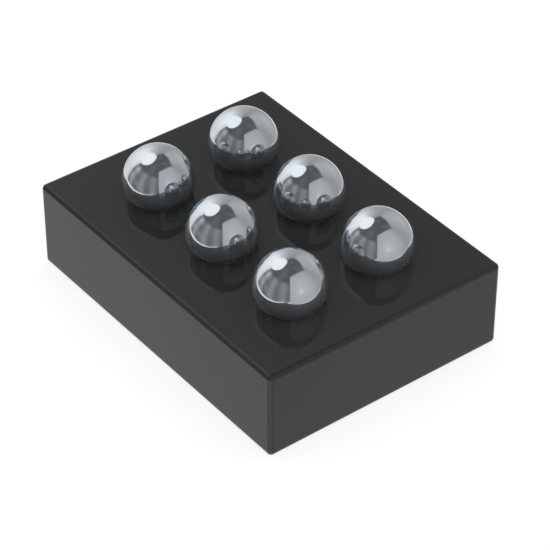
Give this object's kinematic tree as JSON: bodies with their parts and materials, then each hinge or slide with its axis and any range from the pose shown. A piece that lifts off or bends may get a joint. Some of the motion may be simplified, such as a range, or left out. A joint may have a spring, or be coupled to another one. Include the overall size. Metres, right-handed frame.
{
  "type": "wafer-level chip-scale package comparator",
  "caption": "Bare-die comparator chip, a thin black block with a 2 by 3 field of bright solder balls on its face.",
  "frame": {"origin": "middle of the flat back of the chip, on the surface that it lies on", "axes": "+Z out of the ball side, +X along the long side with three balls, +Y along the short side with two balls"},
  "size_m": [0.0018, 0.0014, 0.0007],
  "materials": {
    "back_film": "smooth black film, satin",
    "silicon": "sawn silicon, dark grey, satin",
    "nitride": "thin hard film, glossy",
    "polymer": "cured polymer film, glossy black",
    "pad_metal": "thin sputtered metal",
    "copper": "plated copper, satin",
    "solder": "reflowed solder, mirror-bright"
  },
  "bodies": {
    "root": {"backside_coating": "back_film", "silicon_die": "silicon", "passivation": "nitride", "lower_dielectric": "polymer", "upper_dielectric": "polymer", "bond_pad_a1": "pad_metal", "bond_pad_a2": "pad_metal", "bond_pad_b1": "pad_metal", "bond_pad_b2": "pad_metal", "bond_pad_c1": "pad_metal", "bond_pad_c2": "pad_metal", "redistribution_trace_a1": "copper", "redistribution_trace_a2": "copper", "redistribution_trace_b1": "copper", "redistribution_trace_b2": "copper", "redistribution_trace_c1": "copper", "redistribution_trace_c2": "copper", "under_bump_pad_a1": "copper", "under_bump_pad_a2": "copper", "under_bump_pad_b1": "copper", "under_bump_pad_b2": "copper", "under_bump_pad_c1": "copper", "under_bump_pad_c2": "copper", "solder_ball_a1": "solder", "solder_ball_a2": "solder", "solder_ball_b1": "solder", "solder_ball_b2": "solder", "solder_ball_c1": "solder", "solder_ball_c2": "solder"}
  },
  "joints": []
}
